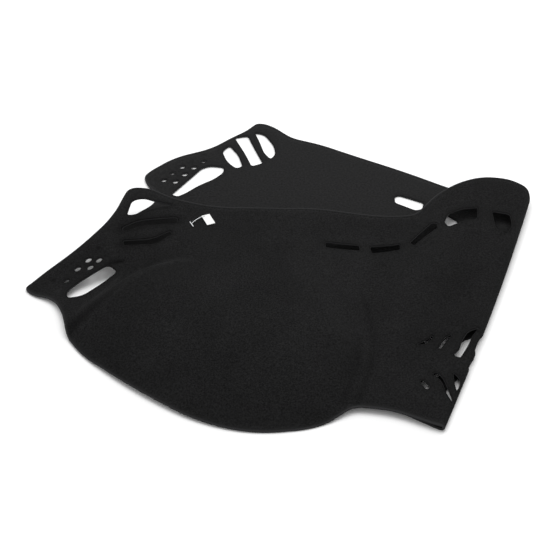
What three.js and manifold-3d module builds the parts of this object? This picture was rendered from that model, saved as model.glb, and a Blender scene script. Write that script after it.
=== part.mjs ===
// Dashboard cover mat for a car: one sheet of carpet cut to the top of a dashboard and heat formed
// to it, folded once near its middle so that the passenger half lies under the driver half.
// A blank paper tag hangs on it by a nylon pin.
//
// Units are millimetres and +Z is up.
// The sheet is drawn flat, in car coordinates: x runs across the car towards the passenger,
// y runs towards the windscreen, and the fold crosses their origin.
// The folded mat lies carpet side out, with X to the right and Y away from the viewer.
// The origin is the middle of its box, on the surface that it lies on.

import * as THREE from 'three';
import { mergeVertices } from 'three/addons/utils/BufferGeometryUtils.js';
import Module from 'manifold-3d';

// Sheet
const MAT_THICKNESS = 3.5;
const FOLD_ANGLE = 75;
const FOLD_RADIUS_FRONT = 4;
const FOLD_RADIUS_REAR = 12.5;
const FOLD_BOW = 8;
const FOLD_BOW_WIDTH = 90;
const LAY_TURN = -5;

// Heights of the formed driver half above the surface that it lies on
const HOOD_HEIGHT = 45;
const HOOD_DEPTH = 200;
const HOOD_FRONT_Y = -154;
const HOOD_MIDDLE_X = -300;
const HOOD_FRONT_CURVE = 0.0021;
const FLAP_SLOPE_ACROSS = 0.15;
const FLAP_SLOPE_BACK = 0.22;
const FLAP_START_X = -650;
const FLAP_START_Y = 120;
const FLAP_BLEND = 10;
const PANEL_FRONT_HEIGHT = 8;
const PANEL_REAR_HEIGHT = 25;
const PANEL_CREST_HEIGHT = 5;
const PANEL_CREST_WIDTH = 45;
const PANEL_BLEND = 120;

// Lift of the passenger half, which lies nearly flat, at its outer end
const END_LIFT = 4;
const END_LIFT_START = 430;
const END_LIFT_LENGTH = 200;

// Mesh fineness
const GRID_STEP = 27;
const EDGE_STEP = 15;
const CUT_STEP = 9;
const ROLL_EDGE_STEP = 3;
const ROLL_ROW_STEP = 20;
const ROLL_DIVISIONS = 6;
const CREASE_STEP = 15;
const SMALL_HOLE_SIDES = 8;
const SIDE_BOW = 0.1;

// Tag and its nylon pin
const TAG_WIDTH = 13;
const TAG_LENGTH = 25;
const TAG_THICKNESS = 0.5;
const TAG_HOLE_RADIUS = 1.5;
const TAG_HOLE_INSET = 3;
const TAG_AT = [-400.5, 245];
const TAG_TURN = 28;
const PIN_RADIUS = 0.5;
const PIN_BAR_RADIUS = 0.7;
const PIN_BAR_LENGTH = 12;
const PIN_BAR_AT = [-424.5, 231];
const PIN_BAR_TURN = 122;
const PIN_ARCH = 5;
const PIN_HEAD_RADIUS = 2.2;
const PIN_HEAD_THICKNESS = 0.6;
const SEAT_GAP = 0.3;

const MAT_COLOUR = 0x0b0b0c;
const TAG_COLOUR = 0xf2f2f0;
const PIN_COLOUR = 0xdfe2e4;

// Outlines: each corner is [x, y, length of the rounding along both of its sides]
const OUTLINE = [
  // driver end, from its front tip along the formed hood edge to the middle of the car
  [-662, 112, 9], [-646, 97, 12], [-612, 86, 20], [-592, 56, 25], [-576, 10, 12],
  [-545, -28, 30], [-460, -92, 60], [-370, -142, 60], [-290, -158, 60], [-205, -140, 40],
  [-157, -102, 12], [-105, -105, 25],
  // middle front edge and the passenger half's front edge
  [-38, -132, 25], [10, -144, 25], [150, -128, 60], [400, -116, 90], [545, -95, 60],
  [590, -45, 35], [602, 20, 20], [612, 64, 15], [650, 86, 15],
  // passenger end and windscreen edge
  [664, 108, 12], [652, 182, 30], [617, 240, 25], [603, 300, 20], [596, 333, 16],
  [540, 328, 30], [420, 342, 60], [250, 352, 40], [190, 359, 25],
  // raised bulge in the middle of the windscreen edge, crossed by the fold
  [140, 374, 20], [106, 386, 12], [92, 416, 16], [54, 430, 22], [8, 424, 22], [-45, 370, 25], [-78, 312, 20],
  // driver half's windscreen edge and outer corner
  [-130, 309, 25], [-225, 304, 50], [-367, 282, 60], [-450, 296, 25], [-492, 316, 12],
  [-538, 317, 24], [-549, 240, 30], [-592, 184, 30], [-640, 140, 14],
];

const CUTS = [
  // driver side air vent, three slots between two curved bars
  [[-523, 262, 7], [-508, 292, 10], [-482, 293, 10], [-447, 279, 6], [-450, 265, 6], [-495, 264, 8]],
  [[-529, 224, 5], [-500, 239, 12], [-443, 244, 4], [-445, 233, 4], [-495, 222, 12], [-522, 212, 5]],
  [[-526, 199, 4], [-485, 198, 12], [-452, 215, 5], [-445, 207, 4], [-470, 187, 10], [-520, 187, 5]],
  // driver side long slot and the slit behind it
  [[-590, 90, 6], [-584, 114, 10], [-550, 144, 14], [-532, 149, 7], [-522, 138, 7], [-545, 106, 14], [-572, 84, 9]],
  [[-537, 156, 2], [-513, 164, 2], [-511, 157, 2], [-536, 150, 2]],
  // demister slots along the windscreen edge
  [[-216, 224, 3], [-162, 228, 3], [-161, 221, 3], [-215, 217, 3]],
  [[-148, 224, 3], [-140, 236, 5], [-100, 248, 4], [-97, 233, 4], [-121, 221, 8]],
  [[-87, 246, 2], [-56, 297, 4], [-44, 289, 3], [-76, 244, 3]],
  [[-35, 298, 5], [-21, 333, 10], [0, 342, 10], [23, 344, 6], [24, 324, 5], [-8, 306, 10], [-22, 292, 6]],
  [[42, 305, 6], [41, 341, 6], [57, 347, 7], [72, 326, 8], [68, 280, 4]],
  [[106, 330, 6], [112, 356, 6], [146, 340, 6], [140, 318, 6]],
  [[168, 318, 3], [200, 288, 3], [191, 282, 3], [160, 310, 3]],
  [[222, 288, 4], [287, 284, 4], [287, 272, 4], [222, 270, 4]],
  // leaf shaped speaker grille over the middle, cut by the fold
  [[-76, 24, 2], [-56, 46, 2], [-50, 41, 2], [-70, 20, 2]],
  [[-44, 18, 3], [-24, 52, 3], [-17, 47, 3], [-37, 15, 3]],
  [[-22, 5, 4], [-8, 46, 12], [14, 70, 3], [18, 64, 3], [3, 30, 12], [-13, 1, 4]],
  [[20, 36, 2], [22, 66, 2], [29, 64, 2], [28, 34, 2]],
  [[-70, -46, 2], [-57, -62, 2], [-50, -57, 2], [-63, -40, 2]],
  [[-53, -30, 4], [-37, -60, 10], [-30, -84, 3], [-24, -80, 3], [-26, -54, 10], [-40, -30, 4]],
  [[-15, -30, 3], [-18, -58, 8], [-19, -86, 3], [-11, -84, 3], [-5, -58, 8], [-6, -32, 3]],
  [[66, 18, 3], [46, 52, 3], [39, 47, 3], [59, 15, 3]],
  [[96, 24, 2], [76, 46, 2], [70, 41, 2], [90, 20, 2]],
  [[20, -32, 3], [16, -58, 8], [13, -86, 3], [21, -86, 3], [26, -58, 8], [29, -30, 3]],
  [[62, -30, 4], [46, -60, 10], [39, -84, 3], [33, -80, 3], [36, -54, 10], [49, -30, 4]],
  [[86, -46, 2], [73, -62, 2], [66, -57, 2], [79, -40, 2]],
  // passenger side air vent
  [[599, 218, 6], [600, 249, 7], [540, 210, 8], [543, 196, 6], [570, 196, 12]],
  [[605, 262, 8], [596, 288, 8], [555, 262, 12], [519, 241, 7], [528, 214, 8], [570, 243, 14]],
  [[590, 302, 8], [555, 303, 16], [522, 283, 14], [512, 249, 7], [545, 263, 14]],
  // passenger side long slot
  [[577, 76, 9], [595, 77, 7], [594, 180, 12], [572, 188, 10], [556, 180, 9], [558, 145, 14], [568, 112, 20]],
];

// Rows of small round holes: start, bend and end of each row
const SMALL_HOLE_RADIUS = 3.6;
const SMALL_HOLE_ROWS = [
  { from: [-616, 127], bend: [-585, 140], to: [-557, 179], count: 5 },
  { from: [-595, 122], bend: [-560, 137], to: [-548, 169], count: 5 },
  { from: [607, 111], bend: [607, 146], to: [603, 182], count: 4 },
  { from: [623, 102], bend: [627, 150], to: [617, 198], count: 5 },
];

// Formed creases on the driver half, and the soft crest of its middle panel
const HOOD_RIDGE = [[-572, -6], [-568, 11], [-549, 24], [-530, 49], [-511, 73], [-493, 95], [-468, 123], [-404, 148]];
const HOOD_VALLEY = [[-600, -6], [-590, 30], [-573, 60], [-545, 92], [-505, 135], [-440, 157]];
const HOOD_FALL_START = [[-195, -100], [-190, 0], [-240, 100], [-350, 250]];
const HOOD_FALL_END = [[-148, -100], [-132, 0], [-130, 60], [-112, 150], [-90, 250]];
const PANEL_CREST = [[-135, -77], [-71, 203]];

const degrees = Math.PI / 180;
const foldCos = Math.cos(FOLD_ANGLE * degrees);
const foldSin = Math.sin(FOLD_ANGLE * degrees);

// Distance past the fold (negative on the driver half) and distance along it
const acrossFold = (x, y) => x * foldSin - y * foldCos;
const alongFold = (x, y) => x * foldCos + y * foldSin;

const outlineAlong = OUTLINE.filter(([x]) => Math.abs(x) < 150).map(([x, y]) => alongFold(x, y));
const FOLD_FRONT = Math.min(...outlineAlong);
const FOLD_REAR = Math.max(...outlineAlong);

// Place along the fold, 0 at its front end and 1 at its rear end
const foldShare = (t) => THREE.MathUtils.clamp((t - FOLD_FRONT) / (FOLD_REAR - FOLD_FRONT), 0, 1);
const foldRadius = (t) => THREE.MathUtils.lerp(FOLD_RADIUS_FRONT, FOLD_RADIUS_REAR, foldShare(t));
const foldBow = (t) => FOLD_BOW * Math.sin(Math.PI * foldShare(t));

// x of a crease at the height y on the sheet, held at the ends of the crease
function creaseX(crease, y) {
  if (y <= crease[0][1]) return crease[0][0];
  for (let i = 1; i < crease.length; i += 1) {
    const [x0, y0] = crease[i - 1];
    const [x1, y1] = crease[i];
    if (y <= y1) return x0 + ((x1 - x0) * (y - y0)) / (y1 - y0);
  }
  return crease[crease.length - 1][0];
}

function softLower(a, b, blend) {
  const near = Math.max(blend - Math.abs(a - b), 0);
  return Math.min(a, b) - (near * near) / (4 * blend);
}

function softRamp(value, blend) {
  return 0.5 * (value + Math.sqrt(value * value + blend * blend));
}

// Raised middle panel of the driver half, between the hood and the fold
function panelHeight(x, y) {
  const share = foldShare(alongFold(x, y));
  const base = THREE.MathUtils.lerp(PANEL_FRONT_HEIGHT, PANEL_REAR_HEIGHT, share);
  const off = (x - creaseX(PANEL_CREST, y)) / PANEL_CREST_WIDTH;
  return base + PANEL_CREST_HEIGHT * Math.exp(-off * off) * Math.sin(Math.PI * share);
}

// Height of the driver half: outer flap, instrument hood and middle panel run into each other
function driverHeight(x, y) {
  const flap = FLAP_SLOPE_ACROSS * softRamp(x - FLAP_START_X, FLAP_BLEND)
    + FLAP_SLOPE_BACK * softRamp(y - FLAP_START_Y, FLAP_BLEND);
  const flapTop = softLower(flap, HOOD_HEIGHT + 1, FLAP_BLEND);
  const hoodFront = HOOD_FRONT_Y + HOOD_FRONT_CURVE * (x - HOOD_MIDDLE_X) ** 2;
  const inside = THREE.MathUtils.clamp((y - hoodFront) / HOOD_DEPTH, 0, 1);
  const hood = HOOD_HEIGHT * (1 - (1 - inside) ** 2);
  const onHood = THREE.MathUtils.smoothstep(x, creaseX(HOOD_VALLEY, y), creaseX(HOOD_RIDGE, y));
  const outer = THREE.MathUtils.lerp(flapTop, hood, onHood);
  const onPanel = THREE.MathUtils.smoothstep(x, creaseX(HOOD_FALL_START, y), creaseX(HOOD_FALL_END, y));
  return THREE.MathUtils.lerp(outer, panelHeight(x, y), onPanel);
}

// Middle surface of the folded sheet, before it is turned as it lies
function foldedPoint(x, y) {
  const s = acrossFold(x, y);
  const t = alongFold(x, y);
  const radius = foldRadius(t);
  const halfRoll = (Math.PI / 2) * radius;
  const bow = foldBow(t) * Math.exp(-((s / FOLD_BOW_WIDTH) ** 2));
  const floor = MAT_THICKNESS / 2;
  const away = Math.abs(s) - halfRoll;
  let side = -radius;
  let height = 0;
  if (away <= 0) {
    side += radius * Math.cos(s / radius);
    height = floor + radius - radius * Math.sin(s / radius);
  } else if (s < 0) {
    const formed = THREE.MathUtils.smoothstep(away, 0, PANEL_BLEND);
    side -= away;
    height = floor + THREE.MathUtils.lerp(2 * radius, driverHeight(x, y), formed);
  } else {
    side -= away;
    height = floor + END_LIFT * THREE.MathUtils.smoothstep(away, END_LIFT_START, END_LIFT_START + END_LIFT_LENGTH);
  }
  side += bow;
  return new THREE.Vector3(side * foldSin + t * foldCos, -side * foldCos + t * foldSin, height);
}

const NORMAL_STEP = 0.4;

// Outward direction of the carpet face at a point of the flat sheet
function foldedNormal(x, y) {
  const acrossX = foldedPoint(x + NORMAL_STEP, y).sub(foldedPoint(x - NORMAL_STEP, y));
  const acrossY = foldedPoint(x, y + NORMAL_STEP).sub(foldedPoint(x, y - NORMAL_STEP));
  return acrossX.cross(acrossY).normalize();
}

// Closed path with rounded corners, where a rounding is limited by its neighbouring sides
function roundedPath(corners) {
  const path = new THREE.Path();
  const points = corners.map(([x, y]) => new THREE.Vector2(x, y));
  corners.forEach((corner, i) => {
    const back = points.at(i - 1).clone().sub(points[i]);
    const ahead = points[(i + 1) % points.length].clone().sub(points[i]);
    const cut = Math.min(corner[2], back.length() / 2, ahead.length() / 2);
    const start = points[i].clone().add(back.setLength(cut));
    const end = points[i].clone().add(ahead.setLength(cut));
    if (i === 0) path.moveTo(start.x, start.y);
    else path.lineTo(start.x, start.y);
    path.quadraticCurveTo(points[i].x, points[i].y, end.x, end.y);
  });
  path.closePath();
  return path;
}

// Points along a closed path, closer together where the sheet rolls over at the fold.
// A straight side bows by a few hundredths, so that no three of its points are exactly in line.
function samplePath(path, step) {
  const samples = [];
  for (const curve of path.curves) {
    const length = curve.getLength();
    if (length < 0.05) continue;
    const straight = curve instanceof THREE.LineCurve;
    const along = curve.getTangent(0);
    const bowAway = new THREE.Vector2(along.y, -along.x).multiplyScalar(SIDE_BOW);
    let u = 0;
    while (u < 1) {
      const point = curve.getPoint(u);
      if (straight) point.addScaledVector(bowAway, u * (1 - u));
      samples.push(point);
      const s = Math.abs(acrossFold(point.x, point.y));
      const rollReach = Math.PI * foldRadius(alongFold(point.x, point.y));
      const wanted = s < rollReach ? ROLL_EDGE_STEP : Math.min(step, straight ? step : length / 2);
      const toRoll = Math.max(s - rollReach, ROLL_EDGE_STEP);
      const stride = Math.min(wanted, toRoll) / length;
      const left = 1 - u;
      u += left / Math.max(1, Math.round(left / stride));
      if (1 - u < 1e-6) break;
    }
  }
  return samples;
}

function circlePoints(centre, radius, sides) {
  const points = [];
  for (let i = 0; i < sides; i += 1) {
    const angle = (2 * Math.PI * (i + 0.5)) / sides;
    points.push(new THREE.Vector2(centre.x + radius * Math.cos(angle), centre.y + radius * Math.sin(angle)));
  }
  return points;
}

function smallHoles() {
  const holes = [];
  for (const row of SMALL_HOLE_ROWS) {
    const curve = new THREE.QuadraticBezierCurve(
      new THREE.Vector2(...row.from), new THREE.Vector2(...row.bend), new THREE.Vector2(...row.to));
    for (let i = 0; i < row.count; i += 1) {
      holes.push(circlePoints(curve.getPoint(i / (row.count - 1)), SMALL_HOLE_RADIUS, SMALL_HOLE_SIDES));
    }
  }
  return holes;
}

function distanceToLoop(point, loop) {
  let nearest = Infinity;
  const foot = new THREE.Vector2();
  loop.forEach((a, i) => {
    const b = loop[(i + 1) % loop.length];
    const edge = b.clone().sub(a);
    const share = THREE.MathUtils.clamp(point.clone().sub(a).dot(edge) / edge.lengthSq(), 0, 1);
    foot.copy(a).addScaledVector(edge, share);
    nearest = Math.min(nearest, foot.distanceTo(point));
  });
  return nearest;
}

function insideLoop(point, loop) {
  let inside = false;
  loop.forEach((a, i) => {
    const b = loop[(i + 1) % loop.length];
    const crosses = (a.y > point.y) !== (b.y > point.y);
    if (crosses && point.x < a.x + ((b.x - a.x) * (point.y - a.y)) / (b.y - a.y)) inside = !inside;
  });
  return inside;
}

// Points inside the sheet that carry its form: rows round the fold, the creases, and an even grid
function innerPoints(outline, holes) {
  const kept = [];
  const loops = [outline, ...holes];
  const fits = (point, clear) => insideLoop(point, outline)
    && !holes.some((hole) => insideLoop(point, hole))
    && loops.every((loop) => distanceToLoop(point, loop) > clear);
  const offer = (x, y, clear, apart) => {
    const point = new THREE.Vector2(x, y);
    if (kept.some((other) => other.distanceTo(point) < apart)) return;
    if (fits(point, clear)) kept.push(point);
  };
  const atFold = (s, t) => [s * foldSin + t * foldCos, -s * foldCos + t * foldSin];
  for (let t = FOLD_FRONT; t <= FOLD_REAR; t += ROLL_ROW_STEP) {
    const halfRoll = (Math.PI / 2) * foldRadius(t);
    for (let i = 0; i <= ROLL_DIVISIONS; i += 1) {
      offer(...atFold(halfRoll * ((2 * i) / ROLL_DIVISIONS - 1), t), ROLL_EDGE_STEP / 2, 0);
    }
    offer(...atFold(-halfRoll - GRID_STEP / 2, t), EDGE_STEP / 3, GRID_STEP / 3);
    offer(...atFold(halfRoll + GRID_STEP / 2, t), EDGE_STEP / 3, GRID_STEP / 3);
  }
  for (const crease of [HOOD_RIDGE, HOOD_VALLEY, HOOD_FALL_START, HOOD_FALL_END]) {
    const path = new THREE.Path(crease.map(([x, y]) => new THREE.Vector2(x, y)));
    const count = Math.round(path.getLength() / CREASE_STEP);
    path.getSpacedPoints(count).forEach((point) => offer(point.x, point.y, EDGE_STEP / 3, CREASE_STEP / 2));
  }
  const box = new THREE.Box2().setFromPoints(outline);
  const rowStep = (GRID_STEP * Math.sqrt(3)) / 2;
  let row = 0;
  for (let y = box.min.y; y < box.max.y; y += rowStep) {
    for (let x = box.min.x + (row % 2) * (GRID_STEP / 2); x < box.max.x; x += GRID_STEP) {
      offer(x, y, GRID_STEP / 3, GRID_STEP * 0.6);
    }
    row += 1;
  }
  return kept;
}

const TINY = 1e-9;

function turns(a, b, c) {
  return (b.x - a.x) * (c.y - a.y) - (b.y - a.y) * (c.x - a.x);
}

// Whether d lies inside the circle through the counter-clockwise triangle a, b, c
function inCircle(a, b, c, d) {
  const row = (p) => {
    const x = p.x - d.x;
    const y = p.y - d.y;
    return [x, y, x * x + y * y];
  };
  const [p, q, r] = [row(a), row(b), row(c)];
  const value = p[0] * (q[1] * r[2] - q[2] * r[1])
    - p[1] * (q[0] * r[2] - q[2] * r[0])
    + p[2] * (q[0] * r[1] - q[1] * r[0]);
  return value > TINY;
}

// Triangles over the flat sheet. The outline is filled first, then each inner point is set into the
// triangle that holds it, and shared edges are swapped wherever that makes two triangles less thin.
function meshSheet(points, filled) {
  const faces = [];
  const owners = new Map();
  const place = (face, corners) => {
    faces[face] = corners;
    corners.forEach((v, i) => owners.set(`${v},${corners[(i + 1) % 3]}`, face));
  };
  const lift = (face) => {
    faces[face].forEach((v, i) => owners.delete(`${v},${faces[face][(i + 1) % 3]}`));
  };
  const even = (queue) => {
    while (queue.length > 0) {
      const [a, b] = queue.pop();
      const near = owners.get(`${a},${b}`);
      const far = owners.get(`${b},${a}`);
      if (near === undefined || far === undefined) continue;
      const c = faces[near].find((v) => v !== a && v !== b);
      const d = faces[far].find((v) => v !== a && v !== b);
      const [pa, pb, pc, pd] = [a, b, c, d].map((v) => points[v]);
      const convex = turns(pc, pa, pd) > TINY && turns(pc, pd, pb) > TINY;
      if (!convex || !inCircle(pa, pb, pc, pd)) continue;
      lift(near);
      lift(far);
      place(near, [c, a, d]);
      place(far, [c, d, b]);
      queue.push([c, a], [a, d], [d, b], [b, c]);
    }
  };
  filled.forEach((corners, face) => place(face, corners));
  even(filled.flatMap(([a, b, c]) => [[a, b], [b, c], [c, a]]));
  const used = new Set(filled.flat());
  points.forEach((point, v) => {
    if (used.has(v)) return;
    const face = faces.findIndex((corners) => corners.every(
      (corner, i) => turns(points[corner], points[corners[(i + 1) % 3]], point) >= 0));
    if (face < 0) return;
    const [a, b, c] = faces[face];
    lift(face);
    place(face, [a, b, v]);
    place(faces.length, [b, c, v]);
    place(faces.length, [c, a, v]);
    even([[a, b], [b, c], [c, a]]);
  });
  return faces;
}

// The sheet as one closed solid: carpet face, back face and the cut edges between them
function matGeometry() {
  const outline = samplePath(roundedPath(OUTLINE), EDGE_STEP);
  const cuts = CUTS.map((corners) => samplePath(roundedPath(corners), CUT_STEP));
  const holes = [...cuts, ...smallHoles()];
  const points = [...outline, ...holes.flat(), ...innerPoints(outline, holes)];
  const filled = THREE.ShapeUtils.triangulateShape(outline, holes);
  const area = filled.reduce((sum, [a, b, c]) => sum + turns(points[a], points[b], points[c]), 0);
  const faces = meshSheet(points, area > 0 ? filled : filled.map(([a, b, c]) => [a, c, b]));

  const count = points.length;
  const positions = new Float32Array(count * 6);
  points.forEach((point, i) => {
    const middle = foldedPoint(point.x, point.y);
    const normal = foldedNormal(point.x, point.y);
    middle.clone().addScaledVector(normal, MAT_THICKNESS / 2).toArray(positions, i * 3);
    middle.clone().addScaledVector(normal, -MAT_THICKNESS / 2).toArray(positions, (count + i) * 3);
  });
  const edges = new Set(faces.flatMap(([a, b, c]) => [`${a},${b}`, `${b},${c}`, `${c},${a}`]));
  const index = [];
  for (const [a, b, c] of faces) {
    index.push(a, b, c, count + a, count + c, count + b);
    for (const [from, to] of [[a, b], [b, c], [c, a]]) {
      if (edges.has(`${to},${from}`)) continue;
      index.push(to, from, count + from, to, count + from, count + to);
    }
  }
  const geometry = new THREE.BufferGeometry();
  geometry.setAttribute('position', new THREE.BufferAttribute(positions, 3));
  geometry.setIndex(index);
  return geometry;
}

// Frame of the carpet face at a point: z along its normal, x along the sheet's own x
function faceFrame([x, y], turn) {
  const normal = foldedNormal(x, y);
  const ahead = foldedPoint(x + 1, y).sub(foldedPoint(x - 1, y)).normalize();
  const aside = normal.clone().cross(ahead);
  const origin = foldedPoint(x, y).addScaledVector(normal, MAT_THICKNESS / 2);
  return new THREE.Matrix4().makeBasis(ahead, aside, normal).setPosition(origin)
    .multiply(new THREE.Matrix4().makeRotationZ(turn * degrees));
}

const wasm = await Module();
wasm.setup();

function toSolid(geometry) {
  const plain = geometry.index ? geometry.toNonIndexed() : geometry.clone();
  plain.deleteAttribute('normal');
  plain.deleteAttribute('uv');
  const merged = mergeVertices(plain, 1e-5);
  return new wasm.Manifold(new wasm.Mesh({
    numProp: 3,
    vertProperties: new Float32Array(merged.attributes.position.array),
    triVerts: new Uint32Array(merged.index.array),
  }));
}

function toGeometry(solid) {
  const mesh = solid.getMesh();
  const geometry = new THREE.BufferGeometry();
  geometry.setAttribute('position', new THREE.BufferAttribute(new Float32Array(mesh.vertProperties), 3));
  geometry.setIndex(new THREE.BufferAttribute(new Uint32Array(mesh.triVerts), 1));
  return geometry;
}

// Card with a punched hole; its own y is its length and the hole is near its far end
function tagGeometry() {
  const card = new THREE.Shape([
    new THREE.Vector2(-TAG_WIDTH / 2, -TAG_LENGTH / 2), new THREE.Vector2(TAG_WIDTH / 2, -TAG_LENGTH / 2),
    new THREE.Vector2(TAG_WIDTH / 2, TAG_LENGTH / 2), new THREE.Vector2(-TAG_WIDTH / 2, TAG_LENGTH / 2),
  ]);
  card.holes.push(new THREE.Path(circlePoints(tagHoleCentre(), TAG_HOLE_RADIUS, 16)));
  const geometry = new THREE.ExtrudeGeometry(card, { depth: TAG_THICKNESS, bevelEnabled: false });
  geometry.translate(0, 0, tagLift());
  return geometry;
}

const tagHoleCentre = () => new THREE.Vector2(-TAG_WIDTH / 2 + TAG_HOLE_INSET, TAG_LENGTH / 2 - TAG_HOLE_INSET);

// The card lies on the pin's head, which lies on the carpet
const tagLift = () => SEAT_GAP + PIN_HEAD_THICKNESS + SEAT_GAP;

// Nylon pin: a bar on the carpet, a fine arched thread, and a round head under the card
function pinGeometry(tagFrame) {
  const barFrame = faceFrame(PIN_BAR_AT, PIN_BAR_TURN);
  const bar = new THREE.CylinderGeometry(PIN_BAR_RADIUS, PIN_BAR_RADIUS, PIN_BAR_LENGTH, 10);
  bar.rotateZ(Math.PI / 2);
  bar.translate(0, 0, SEAT_GAP + PIN_BAR_RADIUS);
  bar.applyMatrix4(barFrame);

  const hole = tagHoleCentre();
  const head = new THREE.CylinderGeometry(PIN_HEAD_RADIUS, PIN_HEAD_RADIUS, PIN_HEAD_THICKNESS, 14);
  head.rotateX(Math.PI / 2);
  head.translate(hole.x, hole.y, SEAT_GAP + PIN_HEAD_THICKNESS / 2);
  head.applyMatrix4(tagFrame);

  const start = new THREE.Vector3(0, 0, SEAT_GAP + PIN_BAR_RADIUS).applyMatrix4(barFrame);
  const rise = new THREE.Vector3(0, 0, PIN_ARCH).applyMatrix4(barFrame);
  const over = new THREE.Vector3(hole.x, hole.y, PIN_ARCH + tagLift()).applyMatrix4(tagFrame);
  const end = new THREE.Vector3(hole.x, hole.y, SEAT_GAP + PIN_HEAD_THICKNESS / 2).applyMatrix4(tagFrame);
  const thread = new THREE.ExtrudeGeometry(new THREE.Shape(circlePoints(new THREE.Vector2(), PIN_RADIUS, 8)), {
    steps: 20,
    bevelEnabled: false,
    extrudePath: new THREE.CubicBezierCurve3(start, rise, over, end),
  });
  return toGeometry(toSolid(bar).add(toSolid(head)).add(toSolid(thread)));
}

function addPiece(group, name, geometry, colour, roughness) {
  const material = new THREE.MeshStandardMaterial({ color: colour, roughness, metalness: 0 });
  const mesh = new THREE.Mesh(geometry, material);
  mesh.name = name;
  group.add(mesh);
  return mesh;
}

const tagFrame = faceFrame(TAG_AT, TAG_TURN);
const laid = new THREE.Group();
laid.rotation.z = LAY_TURN * degrees;
addPiece(laid, 'dash_mat', matGeometry(), MAT_COLOUR, 0.95);
addPiece(laid, 'tag', tagGeometry().applyMatrix4(tagFrame), TAG_COLOUR, 0.7);
addPiece(laid, 'tag_pin', pinGeometry(tagFrame), PIN_COLOUR, 0.35);

// The whole lies centred on the origin, with its lowest face at zero
const part = new THREE.Group();
part.add(laid);
part.updateMatrixWorld(true);
const bounds = new THREE.Box3().setFromObject(part, true);
laid.position.set(-(bounds.min.x + bounds.max.x) / 2, -(bounds.min.y + bounds.max.y) / 2, -bounds.min.z);

export default part;
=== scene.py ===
import math

import bpy
import numpy as np
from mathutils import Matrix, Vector, geometry


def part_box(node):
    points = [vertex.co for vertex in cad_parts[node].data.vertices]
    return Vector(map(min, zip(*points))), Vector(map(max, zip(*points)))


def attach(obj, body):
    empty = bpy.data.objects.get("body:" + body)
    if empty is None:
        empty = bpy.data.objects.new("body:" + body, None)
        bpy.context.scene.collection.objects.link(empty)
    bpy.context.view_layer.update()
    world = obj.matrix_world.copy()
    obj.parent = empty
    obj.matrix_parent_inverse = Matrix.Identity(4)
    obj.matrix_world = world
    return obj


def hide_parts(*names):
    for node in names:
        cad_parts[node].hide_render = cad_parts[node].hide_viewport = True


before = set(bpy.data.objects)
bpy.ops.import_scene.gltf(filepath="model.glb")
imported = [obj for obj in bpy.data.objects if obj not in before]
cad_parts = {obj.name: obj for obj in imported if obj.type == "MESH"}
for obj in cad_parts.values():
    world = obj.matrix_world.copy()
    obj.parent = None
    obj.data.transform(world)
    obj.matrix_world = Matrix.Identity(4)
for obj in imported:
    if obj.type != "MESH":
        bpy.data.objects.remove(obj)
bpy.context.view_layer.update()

MM = 0.001

# Sheet, in millimetres and car coordinates as in the part's own source:
# x runs across the car towards the passenger, y towards the windscreen, and the fold crosses the origin.
# Several of its values match the part's source; the outline and the cuts are a closer trace of the same mat.
MAT_THICKNESS = 3.5
FOLD_ANGLE = math.radians(75)
FOLD_RADIUS_FRONT = 4
FOLD_RADIUS_REAR = 12.5
FOLD_BOW = 5.5
FOLD_BOW_WIDTH = 90
LAY_TURN = math.radians(-5)

# Reach of the flat sheet from the fold to its two ends, and to the windscreen edge
DRIVER_REACH = 662
PASSENGER_REACH = 668
REAR_REACH = 310

HOOD_HEIGHT = 45
HOOD_DEPTH = 200
HOOD_FRONT_Y = -154
HOOD_MIDDLE_X = -300
HOOD_FRONT_CURVE = 0.0021
FLAP_SLOPE_ACROSS = 0.15
FLAP_SLOPE_BACK = 0.22
FLAP_START = 12
FLAP_START_Y = 120
FLAP_BLEND = 10
FLAP_OVER_HOOD = 1
PANEL_FRONT_HEIGHT = 8
PANEL_REAR_HEIGHT = 25
PANEL_CREST_HEIGHT = 5
PANEL_CREST_WIDTH = 45
PANEL_BLEND = 120
END_LIFT = 1.5
END_LIFT_START = 430
END_LIFT_LENGTH = 200


# Corners given from an end of the sheet, or from its windscreen edge.
# Each corner is (x, y, length of the rounding along both of its sides).

def at_driver_end(corners):
    return [[x - DRIVER_REACH, *rest] for x, *rest in corners]


def at_passenger_end(corners):
    return [[PASSENGER_REACH - x, *rest] for x, *rest in corners]


def at_rear_edge(corners):
    return [[x, REAR_REACH + y, *rest] for x, y, *rest in corners]


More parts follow.
